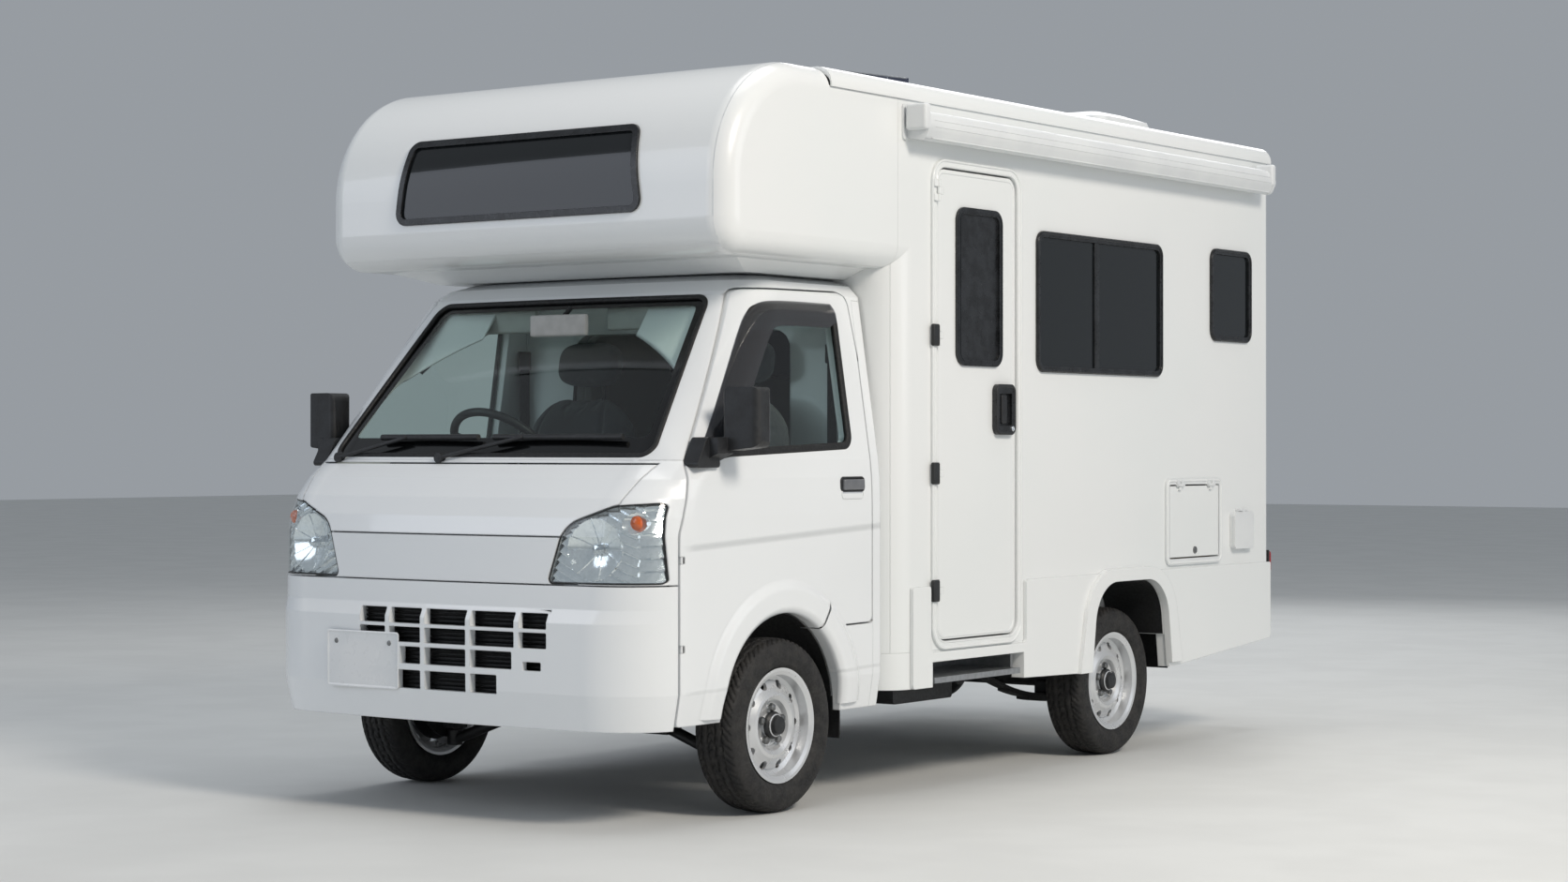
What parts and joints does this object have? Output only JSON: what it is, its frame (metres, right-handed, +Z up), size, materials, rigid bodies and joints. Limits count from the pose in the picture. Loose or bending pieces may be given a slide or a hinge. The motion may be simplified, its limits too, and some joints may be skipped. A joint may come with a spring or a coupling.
{
  "type": "kei camper van",
  "caption": "Small white cab-over camper: one-box cab, ladder frame and moulded camper shell with side door, windows and awning.",
  "frame": {"origin": "on the ground under the middle of the vehicle's bounding box", "axes": "+Z up, the front faces -Y, +X is the vehicle's left side with the entry door"},
  "size_m": [1.7492, 3.7599, 2.2682],
  "materials": {
    "white_paint": "gloss",
    "white_shell": "gloss",
    "white_plastic": "satin",
    "clear_glass": "clear",
    "tinted_glass": "tinted",
    "bright_reflector": "polished",
    "red_lens": "gloss",
    "black_plastic": "grained",
    "dark_trim": "grained",
    "seat_fabric": "woven",
    "bare_aluminium": "brushed",
    "chassis_black": "satin",
    "cast_metal": "rough",
    "steel": "dull",
    "silver_steel": "satin",
    "tyre_rubber": "moulded",
    "black_rubber": "moulded",
    "solar_glass": "dark",
    "cabinet_board": "matt"
  },
  "bodies": {
    "vehicle": {"cab_body": "white_paint", "cab_rear_wall": "white_paint", "cab_wheelhouses": "white_paint", "windscreen": "clear_glass", "wipers": "black_plastic", "front_bumper": "white_paint", "front_panels": "white_paint", "headlamp_lenses": "clear_glass", "headlamp_housings": "bright_reflector", "dashboard": "dark_trim", "cab_seats": "seat_fabric", "radiator": "bare_aluminium", "chassis_frame": "chassis_black", "engine": "cast_metal", "fuel_tank": "chassis_black", "battery_box": "black_plastic", "exhaust": "steel", "propeller_shaft": "steel", "front_suspension": "chassis_black", "rear_axle": "chassis_black", "mudflaps": "black_rubber", "camper_shell": "white_shell", "shell_floor": "white_shell", "shell_wheel_boxes": "white_shell", "shell_side_walls": "white_shell", "camper_roof": "white_shell", "solar_panel": "solar_glass", "window_frames": "black_plastic", "window_panes": "tinted_glass", "entry_step": "bare_aluminium", "hatch_frame": "white_plastic", "awning": "white_plastic", "skirts": "white_shell", "furniture": "cabinet_board", "rear_bumper": "white_paint", "tail_lamps": "red_lens"},
    "cab_door_left": {"cab_door_left": "white_paint", "door_glass_left": "clear_glass", "mirror_left": "black_plastic"},
    "cab_door_right": {"cab_door_right": "white_paint", "door_glass_right": "clear_glass", "mirror_right": "black_plastic"},
    "entry_door": {"entry_door": "white_shell", "entry_door_window": "black_plastic"},
    "hatch_lid": {"hatch_lid": "white_shell"},
    "inlet_lid": {"inlet_lid": "white_plastic"},
    "roof_vent_lid": {"roof_vent_lid": "white_plastic"},
    "steering_wheel": {"steering_wheel": "dark_trim"},
    "knuckle_left": {"knuckle_left": "cast_metal"},
    "knuckle_right": {"knuckle_right": "cast_metal"},
    "wheel_front_left": {"tyre_front_left": "tyre_rubber", "wheel_front_left": "silver_steel"},
    "wheel_rear_left": {"tyre_rear_left": "tyre_rubber", "wheel_rear_left": "silver_steel"},
    "wheel_front_right": {"tyre_front_right": "tyre_rubber", "wheel_front_right": "silver_steel"},
    "wheel_rear_right": {"tyre_rear_right": "tyre_rubber", "wheel_rear_right": "silver_steel"}
  },
  "joints": [
    {"name": "steering_wheel_turn", "type": "hinge", "parent": "vehicle", "child": "steering_wheel", "pos_m": [-0.3, -1.24, 1.028], "axis": [0, 0.7193, 0.6947], "range_deg": [-560, 560]},
    {"name": "steer_left", "type": "hinge", "parent": "vehicle", "child": "knuckle_left", "pos_m": [0.545, -1.19, 0.2525], "axis": [0, 0, 1], "range_deg": [-35, 35]},
    {"name": "spin_front_left", "type": "hinge", "parent": "knuckle_left", "child": "wheel_front_left", "pos_m": [0.658, -1.19, 0.2525], "axis": [1, 0, 0], "continuous": true},
    {"name": "spin_rear_left", "type": "hinge", "parent": "vehicle", "child": "wheel_rear_left", "pos_m": [0.658, 0.76, 0.2525], "axis": [1, 0, 0], "continuous": true},
    {"name": "cab_door_left_swing", "type": "hinge", "parent": "vehicle", "child": "cab_door_left", "pos_m": [0.73, -1.67, 0.6], "axis": [0, 0, -1], "range_deg": [0, 65]},
    {"name": "steer_right", "type": "hinge", "parent": "vehicle", "child": "knuckle_right", "pos_m": [-0.545, -1.19, 0.2525], "axis": [0, 0, 1], "range_deg": [-35, 35]},
    {"name": "spin_front_right", "type": "hinge", "parent": "knuckle_right", "child": "wheel_front_right", "pos_m": [-0.658, -1.19, 0.2525], "axis": [1, 0, 0], "continuous": true},
    {"name": "spin_rear_right", "type": "hinge", "parent": "vehicle", "child": "wheel_rear_right", "pos_m": [-0.658, 0.76, 0.2525], "axis": [1, 0, 0], "continuous": true},
    {"name": "cab_door_right_swing", "type": "hinge", "parent": "vehicle", "child": "cab_door_right", "pos_m": [-0.73, -1.67, 0.6], "axis": [0, 0, 1], "range_deg": [0, 65]},
    {"name": "entry_door_swing", "type": "hinge", "parent": "vehicle", "child": "entry_door", "pos_m": [0.7885, -0.4505, 1.2], "axis": [0, 0, -1], "range_deg": [0, 100]},
    {"name": "hatch_lid_lift", "type": "hinge", "parent": "vehicle", "child": "hatch_lid", "pos_m": [0.7885, 1.243, 0.9215], "axis": [0, -1, 0], "range_deg": [0, 90]},
    {"name": "inlet_lid_lift", "type": "hinge", "parent": "vehicle", "child": "inlet_lid", "pos_m": [0.792, 1.6025, 0.825], "axis": [0, -1, 0], "range_deg": [0, 100]},
    {"name": "roof_vent_lift", "type": "hinge", "parent": "vehicle", "child": "roof_vent_lid", "pos_m": [0.33, 1.415, 2.212], "axis": [-1, 0, 0], "range_deg": [0, 60]}
  ],
  "couplings": [
    {"joint": "steer_left", "follows": "steering_wheel_turn", "ratio": 0.0625},
    {"joint": "steer_right", "follows": "steering_wheel_turn", "ratio": 0.0625}
  ]
}
